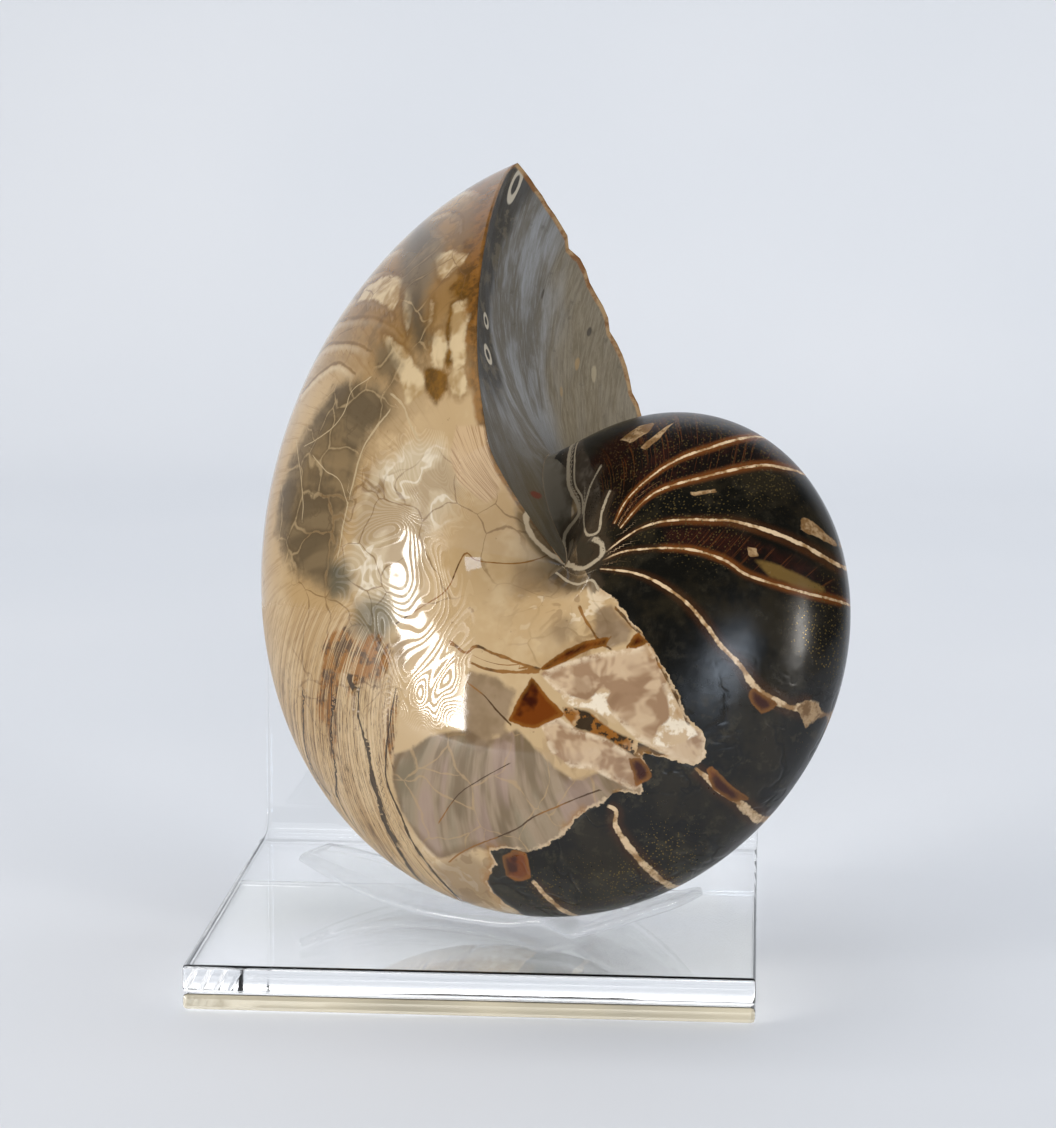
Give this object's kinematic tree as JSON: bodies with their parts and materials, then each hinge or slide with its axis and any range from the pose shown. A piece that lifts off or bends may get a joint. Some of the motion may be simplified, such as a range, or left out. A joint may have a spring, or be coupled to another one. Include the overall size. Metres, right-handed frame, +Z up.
{
  "type": "polished fossil nautilus on a clear stand",
  "caption": "Whole polished fossil nautilus with a cupped, sediment-filled mouth, standing in a curved clear cradle on a flat clear base with an upright sheet behind it.",
  "frame": {"origin": "middle of the underside of the lower base plate", "axes": "+Z up; the stand's front edge faces -Y; +X to the right as seen from the front"},
  "size_m": [0.1386, 0.128, 0.1735],
  "materials": {
    "fossil_shell": "polished, cream shell over dark mineral",
    "clear_plate": "clear, polished, faint warm edge",
    "clear_sheet": "clear, polished",
    "clear_cradle": "clear, heat formed"
  },
  "bodies": {
    "root": {"nautilus": "fossil_shell", "base_plate": "clear_plate", "back_sheet": "clear_sheet", "cradle": "clear_cradle"}
  },
  "joints": []
}
